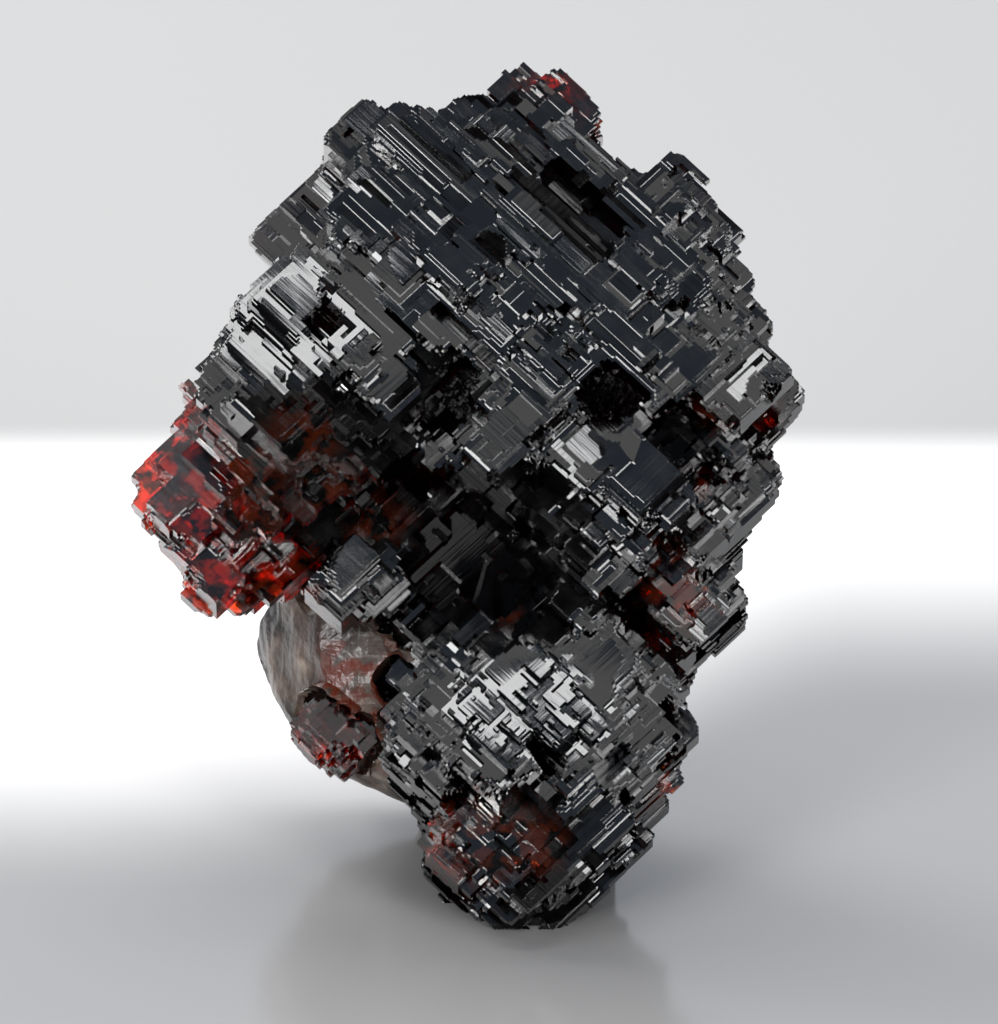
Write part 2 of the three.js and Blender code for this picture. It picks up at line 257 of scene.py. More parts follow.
    def plates(self, count, long, wide, where, rise=(1, 2)):
        """Many small rectangular steps, standing out of the broad faces or etched into them."""
        sunk, root, least = 0.45, 2, 0.35  # share etched in, cells that a step is rooted, least field of it
        edge = np.argwhere(self.solid[1:-1, 1:-1, 1:-1] & ~self.solid[1:-1, 1:-1, 2:]) + 1
        for _ in range(count):
            at = edge[self.chance.randrange(len(edge))]
            scale, along = where(*self.middle(at))
            if not scale:
                continue
            half = [self.chance.uniform(0.4, 1) * size * scale / self.cell for size in (long, wide)]
            if self.chance.random() > along:
                half.reverse()
            height = self.chance.randint(*rise)
            if self.chance.random() < sunk:
                height = -height
            self.stairs(at, half, height, self.chance.choice((0, 1, 1, 2)), root, least)

    def tidy(self):
        """Fills what only touches along an edge, and drops loose crumbs and sealed hollows."""
        solid = self.solid
        for _ in range(12):
            changed = 0
            for first, second in ((0, 1), (0, 2), (1, 2)):
                view = np.moveaxis(solid, (first, second), (0, 1))
                a, b, c, d = view[:-1, :-1], view[1:, :-1], view[:-1, 1:], view[1:, 1:]
                slanted = a & d & ~b & ~c
                b |= slanted
                other = b & c & ~a & ~d
                a |= other
                changed += int(slanted.sum() + other.sum())
            if not changed:
                break
        well_inside, well_outside = self.field > 0.9, self.field < 0.01
        self.solid = spread(well_inside, solid)
        self.solid = ~spread(well_outside, ~self.solid)

    def shell(self):
        """Corners in the crystal's axes and outward four-sided faces of the surface."""
        solid = np.pad(self.solid, 1)
        faces = []
        for axis in range(3):
            view = np.moveaxis(solid, axis, 0)
            for outward in (1, -1):
                bare = view[:-1] & ~view[1:] if outward > 0 else ~view[:-1] & view[1:]
                p, q, r = np.nonzero(bare)
                corner = [None, None, None]
                rest = [k for k in range(3) if k != axis]
                ring = ((0, 0), (1, 0), (1, 1), (0, 1))
                if (outward > 0) == (axis == 1):
                    ring = ring[::-1]
                quad = []
                for dq, dr in ring:
                    corner[axis], corner[rest[0]], corner[rest[1]] = p + 1, q + dq, r + dr
                    quad.append(np.ravel_multi_index(corner, np.array(solid.shape) + 1))
                faces.append(np.stack(quad, 1))
        faces = np.concatenate(faces)
        used, faces = np.unique(faces, return_inverse=True)
        faces = faces.reshape(-1, 4)
        index = np.stack(np.unravel_index(used, np.array(solid.shape) + 1), 1) - 1
        return self.low + index * self.cell, faces


def spread(seed, room):
    """The part of the room that the seed reaches."""
    reached = seed & room
    for _ in range(40):
        grown = reached.copy()
        grown[1:] |= reached[:-1]
        grown[:-1] |= reached[1:]
        grown[:, 1:] |= reached[:, :-1]
        grown[:, :-1] |= reached[:, 1:]
        grown[:, :, 1:] |= reached[:, :, :-1]
        grown[:, :, :-1] |= reached[:, :, 1:]
        grown &= room
        if (grown == reached).all():
            break
        reached = grown
    return reached


def object_from(name, corners, faces):
    """An object from corners in mm and faces that all have the same number of sides."""
    mesh = bpy.data.meshes.new(name)
    mesh.vertices.add(len(corners))
    mesh.vertices.foreach_set("co", (corners * MM).astype(np.float32).ravel())
    mesh.loops.add(faces.size)
    mesh.loops.foreach_set("vertex_index", faces.astype(np.int32).ravel())
    mesh.polygons.add(len(faces))
    mesh.polygons.foreach_set("loop_start", np.arange(0, faces.size, faces.shape[1], dtype=np.int32))
    mesh.update(calc_edges=True)
    mesh.validate()
    piece = bpy.data.objects.new(name, mesh)
    bpy.context.scene.collection.objects.link(piece)
    return piece


def grounded(crystal):
    """Carries the solid on below the surface it stands on, so that the cut there is flat."""
    up = (VIEW_TO_WORLD @ CRYSTAL_TO_VIEW)[2]
    index = np.indices(crystal.solid.shape).reshape(3, -1)
    height = up @ (crystal.low[:, None] + (index + 0.5) * crystal.cell)
    lowest = -1.5
    close = (height < GROUND_BAND) & (height > lowest)
    index, height = index[:, close], height[close]
    source = np.round(index + up[:, None] * (GROUND_BAND - height) / crystal.cell).astype(int)
    source = np.clip(source, 0, np.array(crystal.solid.shape)[:, None] - 1)
    crystal.solid[tuple(index)] = crystal.solid[tuple(source)]


def flatten(mesh):
    """Joins the cells' faces into flat ones and cuts the piece off at the ground."""
    form = bmesh.new()
    form.from_mesh(mesh)
    bmesh.ops.dissolve_limit(form, angle_limit=0.01, verts=form.verts, edges=form.edges)
    up = (VIEW_TO_WORLD @ CRYSTAL_TO_VIEW)[2]
    everything = form.verts[:] + form.edges[:] + form.faces[:]
    cut = bmesh.ops.bisect_plane(form, geom=everything, plane_co=(0, 0, 0), plane_no=tuple(up),
                                 clear_inner=True, dist=1e-7)
    edges = [e for e in cut["geom_cut"] if isinstance(e, bmesh.types.BMEdge)]
    bmesh.ops.triangle_fill(form, use_beauty=False, use_dissolve=False, edges=edges, normal=tuple(-up))
    form.to_mesh(mesh)
    form.free()


def of_faces(mesh, what):
    """The normals or the centres of a mesh's faces."""
    values = np.zeros(len(mesh.polygons) * 3)
    mesh.polygons.foreach_get(what, values)
    return values.reshape(-1, 3)


def askew_normals(straight, broad, centres, tilt):
    """Directions of the faces in the front view, each a little askew and slanted as its part is."""
    walls_share = 0.3  # of the tilt that broad faces have
    most = 1.8 * tilt
    uneven = np.clip(np.random.default_rng(5).normal(0, tilt, straight.shape), -most, most)
    normals = (straight + uneven * np.where(broad[:, None], 1, walls_share)) @ CRYSTAL_TO_VIEW.T
    full, none = 0.8, 1.2  # of a slant's radius, where it starts to fade and where it is gone
    for x, y, radius, along_x, along_y in SLANTS:
        away = np.hypot(centres[:, 0] - x, centres[:, 1] - y) / radius
        share = np.clip((none - away) / (none - full), 0, 1) * broad
        normals[:, 0] += along_x * share
        normals[:, 1] += along_y * share
    return normals


def lean_normals(mesh, normals, view):
    """A normal for each corner of each face, leaned as the surface leans there, in the world."""
    sizes = np.zeros(len(mesh.polygons), int)
    mesh.polygons.foreach_get("loop_total", sizes)
    corner_of = np.zeros(len(mesh.loops), int)
    mesh.loops.foreach_get("vertex_index", corner_of)
    normals = np.repeat(normals, sizes, axis=0)
    at = view[corner_of]
    _, slope_x, slope_y = lean_at(at[:, 0], at[:, 1])
    normals[:, 0] -= slope_x * normals[:, 2]
    normals[:, 1] -= slope_y * normals[:, 2]
    normals = normals @ VIEW_TO_WORLD.T
    return normals / np.linalg.norm(normals, axis=1)[:, None]


def mark_lines(mesh, straight, broad, centres):
    """Stores on each face whether its growth lines run up the right, rather than down the right."""
    steep_right = np.abs(straight[:, 0]) > 0.5
    in_crown, elsewhere = 0.15, 0.55
    share = np.where(centres[:, 1] > CROWN_ABOVE, in_crown, elsewhere)
    up_right = np.where(broad, np.random.default_rng(6).random(len(share)) < share, steep_right)
    layer = mesh.attributes.new("lines up the right", "FLOAT", "FACE")
    layer.data.foreach_set("value", up_right.astype(np.float32))


def etched_piece(name, crystal, tilt):
    """One closed piece from the cells: flat faces joined, cut off at the ground, each face a little askew."""
    piece = object_from(name, *crystal.shell())
    mesh = piece.data
    flatten(mesh)
    straight = of_faces(mesh, "normal")
    centres = of_faces(mesh, "center") / MM @ CRYSTAL_TO_VIEW.T
    broad = np.abs(straight[:, 2]) > 0.5
    normals = askew_normals(straight, broad, centres, tilt)
    places, _ = mesh_arrays(mesh)
    normals = lean_normals(mesh, normals, places @ CRYSTAL_TO_VIEW.T)
    mesh.vertices.foreach_set("co", (to_world(places) * MM).astype(np.float32).ravel())
    mesh.polygons.foreach_set("use_smooth", np.ones(len(mesh.polygons), bool))
    mesh.update()
    mesh.normals_split_custom_set(normals.tolist())
    mark_lines(mesh, straight, broad, centres)
    return piece


def linear(hex_colour):
    """An sRGB hex colour as linear red, green, blue and 1."""
    values = [int(hex_colour[k : k + 2], 16) / 255 for k in (1, 3, 5)]
    return (*[v / 12.92 if v < 0.04045 else ((v + 0.055) / 1.055) ** 2.4 for v in values], 1)


def add(tree, kind, wires=None, **settings):
    """Adds a node; settings that are sockets' names, with _ for a space, give their values."""
    made = tree.nodes.new(kind)
    for key, value in settings.items():
        if hasattr(made, key):
            setattr(made, key, value)
        else:
            made.inputs[key.replace("_", " ")].default_value = value
    for key, source in (wires or {}).items():
        tree.links.new(source, made.inputs[key])
    return made


def new_material(name):
    """An empty material and its node tree."""
    material = bpy.data.materials.new(name)
    material.use_nodes = True
    material.node_tree.nodes.clear()
    return material, material.node_tree


def crystal_coordinates(tree):
    """Object coordinates in mm along the crystal's edges."""
    place = add(tree, "ShaderNodeTexCoord")
    turn = Matrix((VIEW_TO_WORLD @ CRYSTAL_TO_VIEW).T.tolist()).to_euler()
    turned = add(tree, "ShaderNodeMapping", {"Vector": place.outputs["Object"]}, Rotation=turn,
                 Scale=(1 / MM, 1 / MM, 1 / MM))
    return turned.outputs["Vector"]


# Where the garnet's skin is clear and light comes through: x, y, depth under the front and radius.
WINDOWS = [
    (-25, 31, 3, 6.4),
    (-22, 24, 3, 7),
    (-17, 22, 3, 5),
    (-18, 30, 2, 5),
    (-15, 33, 1, 3),
    (-13, 30, 1, 3.4),
    (-10, 27, 1, 3),
    (9.5, 25, 1, 3),
    (11, 22, 1, 2.5),
    (13, 29.5, 1, 2),
    (16.9, 34.4, 1, 2),
    (13.4, 34.6, 1, 1.6),
    (-1.5, 5.5, 0, 3.6),
    (-4.6, 4.6, 0, 3.8),
    (1.4, 4.8, 0, 2.6),
    (10, 9, 1, 2.4),
    (-1, 20, 2, 2),
    (4, 57, 3, 4),
    (2, 57, 2.5, 2.6),
]


def mark_clear(piece, crystal):
    """Stores on each corner how clear the skin is there: fully within half a window's radius."""
    places, _ = mesh_arrays(piece.data)
    view = places @ VIEW_TO_WORLD
    clear = np.zeros(len(view))
    for x, y, under, radius in WINDOWS:
        z = crystal.middle(crystal.front(x, y))[2] - under
        away = np.linalg.norm(view - (x, y, z), axis=1) / radius
        clear = np.maximum(clear, np.clip(2 - 2 * away, 0, 1))
    layer = piece.data.attributes.new("clear", "FLOAT", "POINT")
    layer.data.foreach_set("value", clear.astype(np.float32))


def near(tree, x, y, z, radius):
    """1 at a place of the front view, in mm, and 0 beyond the radius."""
    place = add(tree, "ShaderNodeTexCoord")
    away = add(tree, "ShaderNodeVectorMath", {0: place.outputs["Object"]}, operation="DISTANCE")
    away.inputs[1].default_value = VIEW_TO_WORLD @ (x, y, z) * MM
    return add(tree, "ShaderNodeMapRange", {"Value": away.outputs["Value"]}, interpolation_type="SMOOTHSTEP",
               From_Min=radius * MM, From_Max=0.5 * radius * MM).outputs[0]


def garnet_material():
    """Glossy, nearly black garnet that lets deep red light through where its skin is clear and it is thin.

    The real mineral is clear red under a dark, polished, etched skin. To the eye it is black glass with sharp
    reflections and an orange-red glow at thin edges.
    """
    material, tree = new_material("Etched garnet")
    # Fine parallel growth lines, along one edge or the other on each face: they break up the reflections.
    # The real ones are finer; these are about 0.3 mm apart and 8 mm long, so that they show.
    across, along = 3.2, 0.12  # per mm
    place = crystal_coordinates(tree)
    turned = add(tree, "ShaderNodeAttribute", attribute_name="lines up the right")
    stretch = add(tree, "ShaderNodeMix", {"Factor": turned.outputs["Fac"]}, data_type="VECTOR")
    stretch.inputs[4].default_value = (along, across, 3)
    stretch.inputs[5].default_value = (across, along, 3)
    stretched = add(tree, "ShaderNodeVectorMath", {0: place, 1: stretch.outputs[1]}, operation="MULTIPLY")
    lines = add(tree, "ShaderNodeTexNoise", {"Vector": stretched.outputs[0]}, Scale=1, Detail=2)
    bump = add(tree, "ShaderNodeBump", {"Height": lines.outputs["Fac"]}, Strength=1.0, Distance=0.014 * MM)
    # Patches 2 mm wide, from polished to slightly dull.
    patches = add(tree, "ShaderNodeTexNoise", {"Vector": place}, Scale=0.6, Detail=2)
    rough = add(tree, "ShaderNodeMapRange", {"Value": patches.outputs["Fac"]}, To_Min=0.04, To_Max=0.2)
    # In a window the skin is broken into clear and dark patches.
    clear = add(tree, "ShaderNodeAttribute", attribute_name="clear")
    spots = add(tree, "ShaderNodeTexNoise", {"Vector": place}, Scale=0.7, Detail=2)
    broken = add(tree, "ShaderNodeMapRange", {"Value": spots.outputs["Fac"]}, From_Min=0.43, From_Max=0.53)
    window = add(tree, "ShaderNodeMath", {0: clear.outputs["Fac"], 1: broken.outputs[0]},
                 operation="MULTIPLY")
    colour = add(tree, "ShaderNodeMix", {"Factor": window.outputs[0]}, data_type="RGBA")
    colour.inputs[6].default_value = linear("#0e0a0b")
    colour.inputs[7].default_value = linear("#ff7038")
    wires = {"Normal": bump.outputs[0], "Roughness": rough.outputs[0], "Base Color": colour.outputs[2]}
    surface = add(tree, "ShaderNodeBsdfPrincipled", wires, IOR=1.8, Transmission_Weight=0.97)
    depth = add(tree, "ShaderNodeVolumeAbsorption", Color=(0.94, 0.42, 0.035, 1), Density=1.9 / MM)
    add(tree, "ShaderNodeOutputMaterial", {"Surface": surface.outputs[0], "Volume": depth.outputs[0]})
    return material


def small_garnet_material():
    """Thin, clear garnet with a brown skin in places: small orange-red lights among dark crumbs."""
    material, tree = new_material("Orange-red garnet")
    spots = add(tree, "ShaderNodeTexNoise", {"Vector": crystal_coordinates(tree)}, Scale=0.8, Detail=4)
    colour = add(tree, "ShaderNodeValToRGB", {"Fac": spots.outputs["Fac"]})
    ramp(colour, [(0.38, "#180603"), (0.53, "#7a1c08"), (0.67, "#f45a16")])
    surface = add(tree, "ShaderNodeBsdfPrincipled", {"Base Color": colour.outputs[0]},
                  Roughness=0.16, IOR=1.8, Transmission_Weight=1.0)
    depth = add(tree, "ShaderNodeVolumeAbsorption", Color=(0.95, 0.4, 0.05, 1), Density=0.8 / MM)
    add(tree, "ShaderNodeOutputMaterial", {"Surface": surface.outputs[0], "Volume": depth.outputs[0]})
    return material


def quartz_material():
    """Milky quartz, broken: a waxy, cloudy grey-brown, darker in a patch near its top just below the garnet,
    with rust-brown seams.
    """
    material, tree = new_material("Milky quartz")
    place = add(tree, "ShaderNodeTexCoord")
    mm = add(tree, "ShaderNodeMapping", {"Vector": place.outputs["Object"]}, Scale=(1 / MM, 1 / MM, 1 / MM))
    # Clouds about 3 mm wide, and seams about as far apart.
    clouds = add(tree, "ShaderNodeTexNoise", {"Vector": mm.outputs[0]}, Scale=0.3, Detail=6)
    milk = add(tree, "ShaderNodeValToRGB", {"Fac": clouds.outputs["Fac"]})
    ramp(milk, [(0.34, "#1b1512"), (0.48, "#3a2f28"), (0.6, "#5f5046"), (0.74, "#a8998b")])
    # Darker in a patch near the top of the lump, just below the garnet.
    darker_top_share = add(tree, "ShaderNodeMath", {0: near(tree, -12, 19, -6, 5)}, operation="MULTIPLY")
    darker_top_share.inputs[1].default_value = 0.8
    darker_top = add(tree, "ShaderNodeMix", {"Factor": darker_top_share.outputs[0]}, data_type="RGBA")
    tree.links.new(milk.outputs[0], darker_top.inputs[6])
    darker_top.inputs[7].default_value = linear("#332a26")
    veins = add(tree, "ShaderNodeTexNoise", {"Vector": mm.outputs[0]}, Scale=0.4, Detail=5, Distortion=1.4)
    vein = add(tree, "ShaderNodeMapRange", {"Value": veins.outputs["Fac"]}, From_Min=0.46, From_Max=0.56)
    rust = add(tree, "ShaderNodeMath", {0: near(tree, -11.5, 15.5, -4, 6), 1: near(tree, -12, 10.5, -4, 6)},
               operation="MAXIMUM")
    seam = add(tree, "ShaderNodeMath", {0: vein.outputs[0], 1: rust.outputs[0]}, operation="MULTIPLY")
    colour = add(tree, "ShaderNodeMix", {"Factor": seam.outputs[0]}, data_type="RGBA")
    tree.links.new(darker_top.outputs[2], colour.inputs[6])
    colour.inputs[7].default_value = linear("#521d0c")
    bump = add(tree, "ShaderNodeBump", {"Height": clouds.outputs["Fac"]}, Strength=0.9, Distance=0.6 * MM)
    wires = {"Base Color": colour.outputs[2], "Normal": bump.outputs[0]}
    surface = add(tree, "ShaderNodeBsdfPrincipled", wires, Roughness=0.34, IOR=1.544)
    add(tree, "ShaderNodeOutputMaterial", {"Surface": surface.outputs[0]})
    return material


def ramp(stops, places):
    """Sets the stops of a colour ramp."""
    row = stops.color_ramp.elements
    while len(row) < len(places):
        row.new(0.5)
    for element, (position, colour) in zip(row, places):
        element.position = position
        element.color = linear(colour)


def region(x, y, z):
    """Name of the part of the front that a place is in."""
    if z < -12:
        return "back"
    if -8 < x < 3 and 17.5 < y < 31:
        return "hollow"
    if x < -17 and y < 34:
        return "left rim"
    if x < -6 and 22 < y < 37:
        return "left shoulder"
    if y > CROWN_ABOVE and x < 9:
        return "crown"
    if -5.5 < x < 5 and 10.5 < y < 18:
        return "lobe face"
    if y < 19:
        return "lobe"
    return "right"


# Size in mm of the blocks that each part is etched into: down the right, up the right and towards the viewer.
BLOCKS = {"back": (3, 3, 1.5), "hollow": (2.4, 2.4, 1), "left rim": (2.2, 2.2, 1.2),
          "left shoulder": (1.2, 1.2, 0.7), "crown": (6.5, 2.2, 1), "lobe face": (4, 4, 0.7),
          "lobe": (2, 3, 0.5), "right": (2.5, 3.2, 0.7)}
# Relative size of the broad steps, of the narrow lines, of the crumbs and of the finest bricks in each part,
# and the share of them that run down the right.
BROAD_STEPS = {"left shoulder": (0.5, 0.5), "crown": (0.9, 0.85), "lobe": (0.7, 0.4), "right": (0.9, 0.4)}
LINES = {"left shoulder": (0.5, 0.5), "crown": (1.3, 0.9), "lobe face": (0.7, 0.7), "lobe": (0.6, 0.4),
         "right": (0.9, 0.4)}
CRUMBS = {"left shoulder": (0.6, 0.5), "lobe": (0.8, 0.4), "right": (0.9, 0.4), "hollow": (0.5, 0.5)}
BRICKS = {"lobe face": (1, 0.6)}


def block_size(x, y, z):
    """Block size of a place, in cells of the garnet."""
    return [size / garnet.cell for size in BLOCKS[region(x, y, z)]]


def steps_of(sizes):
    """The step size and direction of a place, from a table for the parts of the front."""
    return lambda x, y, z: sizes.get(region(x, y, z), (0, 0))


# Ledges that stand out and pits (negative height) of the front, as in the photograph: x, y, half length down
# the right, half length up the right, height and how wide the treads of its lower sides are. Two blocks stand
# out further than the solid does there, and give their root in mm and the least field that they may fill too.
LEDGES = [
    (-7.0, 52.0, 3.6, 1.0, 1.0, 1),
    (-9.2, 49.6, 3.0, 0.8, 0.75, 1),
    (-4.0, 52.0, 5.0, 0.8, 0.75, 0),
    (-1.0, 50.0, 5.5, 0.8, 0.75, 1),
    (-11.0, 46.5, 2.6, 1.8, 0.75, 1),
    (-8.0, 43.5, 2.0, 2.2, 1.0, 2),
    (-4.5, 45.0, 2.0, 1.6, 0.75, 1),
    (-1.0, 42.0, 2.4, 1.8, 0.75, 1),
    (3.0, 43.0, 3.2, 1.4, 0.75, 1),
    (3.4, 49.6, 2.2, 1.6, -3.0, 0),
    (5.6, 47.2, 2.0, 1.4, -3.0, 0),
    (10.2, 50.6, 1.2, 1.8, 0.5, 1),
    (8.2, 48.8, 2.4, 0.8, 0.75, 1),
    (7.4, 45.6, 0.8, 1.0, 0.75, 1),
    (2.9, 40.6, 0.8, 1.2, -1.5, 0),
    (6.3, 35.8, 2.2, 3.2, -4.0, 0),
    (1.0, 34.8, 1.3, 5.6, 1.0, 1),
    (-0.6, 33.6, 1.4, 3.0, 0.75, 1),
    (-15.2, 42.0, 2.4, 2.4, 0.75, 1),
    (-13.2, 41.0, 1.0, 1.4, -2.0, 0),
    (-13.4, 43.6, 1.4, 0.4, -1.2, 0),
    (-18.4, 38.8, 2.6, 1.6, 0.75, 1),
    (-17.0, 35.0, 3.0, 1.8, 0.75, 1),
    (-9.0, 35.4, 1.8, 2.6, 1.0, 2),
    (12.0, 40.0, 3.0, 3.0, 0.75, 1),
    (15.6, 37.0, 2.0, 2.6, 0.5, 1),
    (13.1, 33.2, 0.9, 0.9, -2.0, 0),
    (10.2, 33.4, 1.0, 2.2, -2.5, 0),
    (11.6, 40.8, 2.6, 0.5, -1.6, 0),
    (-4.6, 36.4, 1.6, 0.9, -2.5, 0),
    (16.9, 34.4, 0.8, 0.8, -1.5, 0),
    (12.4, 30.4, 1.8, 1.2, -4.0, 0),
    (7.4, 30.4, 3.0, 2.6, 0.75, 1),
    (5.0, 26.8, 1.8, 2.2, 0.75, 1),
    (10.2, 25.4, 1.8, 1.0, -3.0, 0),
    (15.2, 28.0, 1.2, 3.0, 0.75, 1),
    (-7.5, 29.5, 1.6, 3.4, -4.0, 0),
    (-3.2, 27.0, 2.4, 3.6, -4.5, 0),
    (-5.4, 22.8, 2.4, 3.2, -4.5, 0),
    (-1.2, 22.6, 3.0, 2.8, -4.5, 0),
    (-3.6, 19.6, 2.4, 2.4, -4.5, 0),
    (1.0, 25.4, 1.8, 2.4, -3.5, 0),
    (-11.8, 22.8, 1.8, 2.4, 2.4, 0.5, 2.0, 0.02),
    (-9.4, 22.2, 1.2, 1.8, 1.6, 0.5, 2.0, 0.02),
    (0.0, 14.2, 3.8, 3.6, 0.75, 0),
    (6.5, 16.2, 2.4, 2.4, 0.5, 1),
    (1.4, 10.8, 3.0, 0.6, -1.4, 0),
    (6.8, 10.2, 2.4, 1.6, 0.5, 1),
    (1.0, 5.6, 2.6, 2.0, -1.5, 0),
    (-5.2, 3.4, 1.6, 1.6, 0.5, 1),
]

garnet = Crystal("garnet", 0.2, 3)
grounded(garnet)
garnet.field = 0.6 * garnet.blurred(0.5) + 0.4 * garnet.blurred(1.2)
garnet.split((0, 0, 0), tuple(int(n) for n in garnet.count), block_size, 0.12)
for ledge in LEDGES:
    garnet.ledge(*ledge)
garnet.plates(420, 3.2, 1.0, steps_of(BROAD_STEPS), (1, 3))
garnet.plates(550, 2.6, 0.25, steps_of(LINES), (1, 1))
garnet.plates(800, 1.2, 0.4, steps_of(CRUMBS), (1, 2))
garnet.plates(5000, 1.5, 0.22, steps_of(BRICKS), (1, 1))
garnet.tidy()
stone = etched_piece("garnet_crystal", garnet, 0.06)
mark_clear(stone, garnet)
stone.data.materials.append(garnet_material())
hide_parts("garnet")
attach(stone, "root")

grain = Crystal("garnet_grain", 0.15, 4)
grain.field = grain.blurred(0.3)
grain.split((0, 0, 0), tuple(int(n) for n in grain.count), lambda x, y, z: (4, 4, 3), 0.2)
grain.tidy()
grains = etched_piece("small_garnets", grain, 0.05)
grains.data.materials.append(small_garnet_material())
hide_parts("garnet_grain")
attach(grains, "root")


def broken_faces():
    """Geometry nodes: an even surface over the lump, pushed in along flakes except at the ground."""
    tree = bpy.data.node_groups.new("Broken quartz faces", "GeometryNodeTree")
    for name, kind in (("Stone", "NodeSocketGeometry"), ("Grain", "NodeSocketFloat"),
                       ("Flakes", "NodeSocketFloat"), ("Depth", "NodeSocketFloat")):
        tree.interface.new_socket(name, in_out="INPUT", socket_type=kind)
    tree.interface.new_socket("Stone", in_out="OUTPUT", socket_type="NodeSocketGeometry")
    start = add(tree, "NodeGroupInput")
    body = add(tree, "GeometryNodeMeshToVolume",
               {"Mesh": start.outputs["Stone"], "Voxel Size": start.outputs["Grain"]},
               resolution_mode="VOXEL_SIZE", Interior_Band_Width=1 * MM)
    even = add(tree, "GeometryNodeVolumeToMesh",
               {"Volume": body.outputs[0], "Voxel Size": start.outputs["Grain"]},
               resolution_mode="VOXEL_SIZE", Threshold=0.1)
    place = add(tree, "GeometryNodeInputPosition")
    flakes = add(tree, "ShaderNodeTexVoronoi", {"Vector": place.outputs[0], "Scale": start.outputs["Flakes"]},
                 feature="F1")
    swirl = add(tree, "ShaderNodeTexNoise", {"Vector": place.outputs[0], "Scale": start.outputs["Flakes"]},
                Detail=5)
    depth = add(tree, "ShaderNodeMath", {0: flakes.outputs["Distance"], 1: swirl.outputs["Fac"]},
                operation="ADD")
    inward = add(tree, "ShaderNodeMath", {0: depth.outputs[0], 1: start.outputs["Depth"]},
                 operation="MULTIPLY")
    height = add(tree, "ShaderNodeSeparateXYZ", {0: place.outputs[0]})
    low = add(tree, "ShaderNodeMapRange", {"Value": height.outputs["Z"]},
              From_Min=0.3 * MM, From_Max=1.8 * MM)
    kept = add(tree, "ShaderNodeMath", {0: inward.outputs[0], 1: low.outputs[0]}, operation="MULTIPLY")
    shift = add(tree, "ShaderNodeVectorMath", {0: add(tree, "GeometryNodeInputNormal").outputs[0],
                                               "Scale": kept.outputs[0]}, operation="SCALE")
    moved = add(tree, "GeometryNodeSetPosition", {"Geometry": even.outputs[0], "Offset": shift.outputs[0]})
    end = add(tree, "NodeGroupOutput")
    tree.links.new(moved.outputs[0], end.inputs[0])
    return tree


def quartz_piece():
    """The lump, as broken faces make it, inside the solid's box and flat where it stands."""
    places, triangles = mesh_arrays(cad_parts["quartz"].data)
    rough = object_from("quartz_rough", places, triangles)
    breaking = rough.modifiers.new("Broken faces", "NODES")
    breaking.node_group = broken_faces()
    # Flakes of about 4 mm, up to 0.6 mm deep, on a surface with a grain of 0.35 mm.
    values = {"Grain": 0.35 * MM, "Flakes": 260.0, "Depth": -0.6 * MM}
    for socket in breaking.node_group.interface.items_tree:
        if socket.name in values:
            breaking[socket.identifier] = values[socket.name]
    made = rough.evaluated_get(bpy.context.evaluated_depsgraph_get())
    mesh = bpy.data.meshes.new_from_object(made)
    bpy.data.objects.remove(rough)
    corners, _ = mesh_arrays(mesh)
    corners = np.clip(corners, places.min(0), places.max(0))
    flat_below = 0.5
    corners[corners[:, 2] < flat_below, 2] = 0
    mesh.vertices.foreach_set("co", (corners * MM).astype(np.float32).ravel())
    mesh.update()
    mesh.materials.clear()
    mesh.materials.append(quartz_material())
    mesh.polygons.foreach_set("material_index", np.zeros(len(mesh.polygons), np.int32))
    piece = bpy.data.objects.new("quartz_lump", mesh)
    bpy.context.scene.collection.objects.link(piece)
    return piece


quartz = quartz_piece()
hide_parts("quartz")
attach(quartz, "root")


def area_light(name, place, aim, size, power, colour="#ffffff"):
    """A rectangular lamp at a place, turned towards its aim; sizes in metres, power in watts."""
    lamp = bpy.data.lights.new(name, "AREA")
    lamp.shape = "RECTANGLE"
    lamp.size, lamp.size_y = size
    lamp.energy = power
    lamp.color = linear(colour)[:3]
    holder = bpy.data.objects.new(name, lamp)
    bpy.context.scene.collection.objects.link(holder)
    holder.location = place
    holder.rotation_euler = (Vector(aim) - Vector(place)).to_track_quat("-Z", "Y").to_euler()


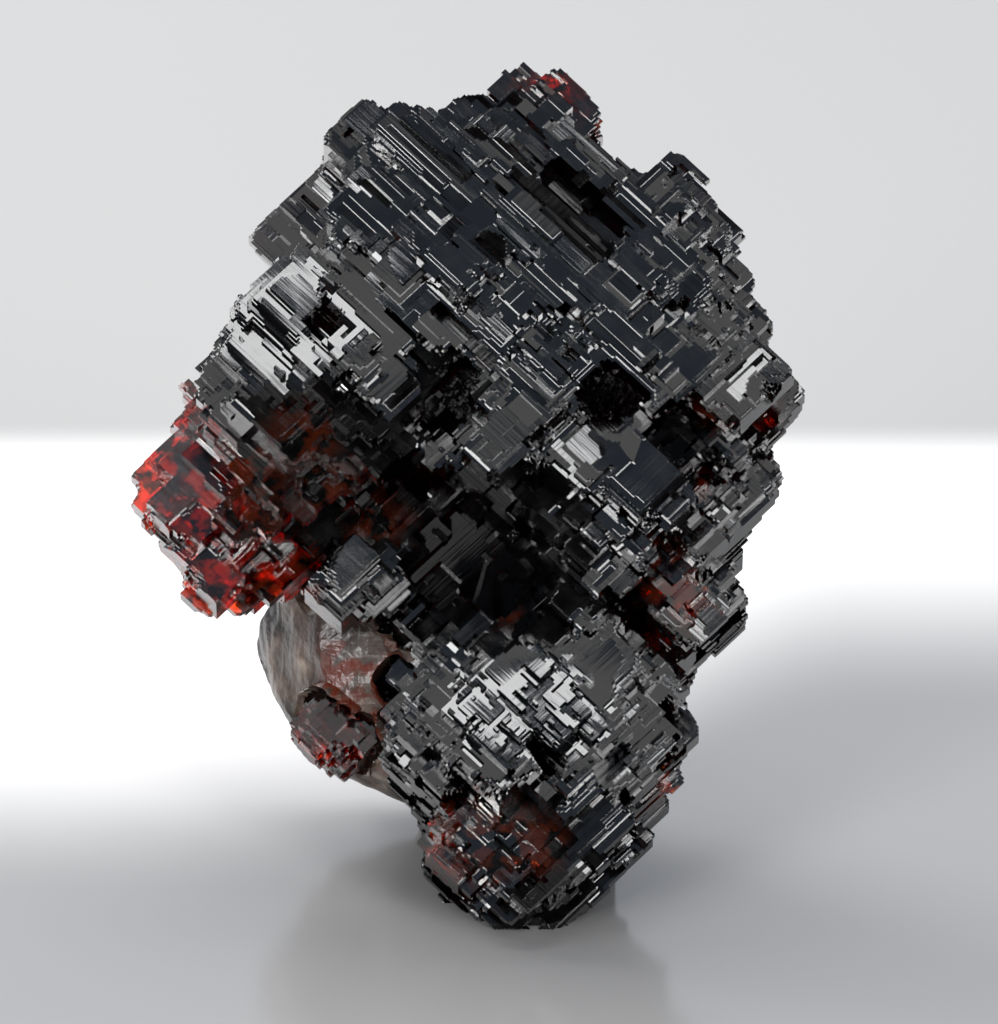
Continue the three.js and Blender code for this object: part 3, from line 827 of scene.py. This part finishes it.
def floor_piece():
    """A glossy table top, white in a strip behind the stone and pale grey before and beyond it: painted
    shadow in front and painted shade beyond.
    """
    mesh = bpy.data.meshes.new("floor")
    far = 2  # metres to each edge
    mesh.from_pydata([(-far, -far, 0), (far, -far, 0), (far, far, 0), (-far, far, 0)], [], [(0, 1, 2, 3)])
    floor = bpy.data.objects.new("floor", mesh)
    bpy.context.scene.collection.objects.link(floor)
    material, tree = new_material("Glossy white table with painted shade")
    place = add(tree, "ShaderNodeSeparateXYZ", {0: add(tree, "ShaderNodeTexCoord").outputs["Object"]})
    # The painted shadow in front reaches further back at the right than at the left.
    right = add(tree, "ShaderNodeMapRange", {"Value": place.outputs["X"]}, interpolation_type="SMOOTHSTEP",
                From_Min=-0.01, From_Max=0.025, To_Min=0, To_Max=-0.04)
    shifted = add(tree, "ShaderNodeMath", {0: place.outputs["Y"], 1: right.outputs[0]}, operation="ADD")
    # Painted shadow: the table darkens to grey towards the front.
    before = add(tree, "ShaderNodeMapRange", {"Value": shifted.outputs[0]}, interpolation_type="SMOOTHSTEP",
                 From_Min=0.004, From_Max=0.058)
    painted_front_shadow = add(tree, "ShaderNodeValToRGB", {"Fac": before.outputs[0]})
    ramp(painted_front_shadow, [(0, "#888786"), (1, "#fcf9f6")])
    # Painted shade: beyond about 10 cm back the table is grey, as if less light reached it.
    beyond = add(tree, "ShaderNodeMapRange", {"Value": place.outputs["Y"]}, interpolation_type="SMOOTHSTEP",
                 From_Min=0.098, From_Max=0.112)
    shade = add(tree, "ShaderNodeMix", {"Factor": beyond.outputs[0]}, data_type="RGBA")
    tree.links.new(painted_front_shadow.outputs[0], shade.inputs[6])
    shade.inputs[7].default_value = linear("#a8a6a3")
    surface = add(tree, "ShaderNodeBsdfPrincipled", {"Base Color": shade.outputs[2]}, Roughness=0.16)
    add(tree, "ShaderNodeOutputMaterial", {"Surface": surface.outputs[0]})
    mesh.materials.append(material)
    return floor


floor_piece()
# The broad faces mirror the soft panel, and the small walls, by way of the broad faces, the lamps in front.
AIM = (0, 0.008, 0.027)  # middle of the specimen
area_light("Soft panel in front", (0, -0.30, 0.56), AIM, (0.5, 0.14), 0.14, "#fff8ea")
area_light("Small key overhead", (0, -0.1, 0.6), AIM, (0.22, 0.16), 0.8)
area_light("Lamp at the front right", (0.22, -0.42, 0.38), AIM, (0.14, 0.14), 0.65)
area_light("Lamp at the front left", (-0.22, -0.42, 0.38), AIM, (0.14, 0.14), 0.65)
area_light("Low lamp at the right", (0.26, -0.5, 0.22), AIM, (0.16, 0.14), 1.8)
area_light("Low lamp at the left", (-0.26, -0.5, 0.22), AIM, (0.16, 0.14), 2.2)
area_light("Light behind at the left", (-0.36, 0.34, 0.42), (0, 0.06, 0), (0.34, 0.3), 3)
area_light("Soft light over the table", (0, 0.35, 0.9), (0, 0.06, 0), (0.8, 0.5), 5.5)
area_light("Pale backdrop", (0, 0.5, 0.2), (0, 0, 0.1), (0.9, 0.3), 0.4)

# A dim blue room, dark straight in front, where the faces of the hollow would mirror it.
world = bpy.data.worlds.new("Dim blue room")
bpy.context.scene.world = world
world.use_nodes = True
sky = world.node_tree
toward_front = add(sky, "ShaderNodeVectorMath", {0: add(sky, "ShaderNodeTexCoord").outputs["Generated"]},
                   operation="DOT_PRODUCT")
toward_front.inputs[1].default_value = Vector((0, -1, 0.2)).normalized()
dark = add(sky, "ShaderNodeMapRange", {"Value": toward_front.outputs["Value"]},
           interpolation_type="SMOOTHSTEP", From_Min=0.88, From_Max=0.95)
tint = add(sky, "ShaderNodeMix", {"Factor": dark.outputs[0]}, data_type="RGBA")
tint.inputs[6].default_value = linear("#a9bad2")
tint.inputs[7].default_value = linear("#101010")
sky.links.new(tint.outputs[2], sky.nodes["Background"].inputs["Color"])
sky.nodes["Background"].inputs["Strength"].default_value = 0.43
# The room is dim and even, so it needs no rays aimed at it.
world.cycles.sampling_method = "NONE"

lens = bpy.data.cameras.new("Camera")
camera = bpy.data.objects.new("Camera", lens)
bpy.context.scene.collection.objects.link(camera)
bpy.context.scene.camera = camera
lens.lens = 600
SENSOR = 36  # mm, the sensor's width
PICTURE_HEIGHT = 70.6 * MM  # of the part of the object's plane that the picture shows
distance = PICTURE_HEIGHT * lens.lens / SENSOR
target = Vector((VIEW_TO_WORLD @ (-1.45, 27.8, 0)) * MM)
toward = Vector(VIEW_TO_WORLD @ (0, 0, 1))
camera.location = target + toward * distance
camera.rotation_euler = toward.to_track_quat("Z", "Y").to_euler()
lens.clip_end = 10

scene = bpy.context.scene
scene.view_settings.view_transform = "Standard"
# The garnet is so dark that more bounces than these don't show.
scene.cycles.max_bounces = 4
scene.cycles.transmission_bounces = 4
scene.cycles.glossy_bounces = 3
scene.cycles.diffuse_bounces = 2
scene.cycles.sample_clamp_indirect = 6
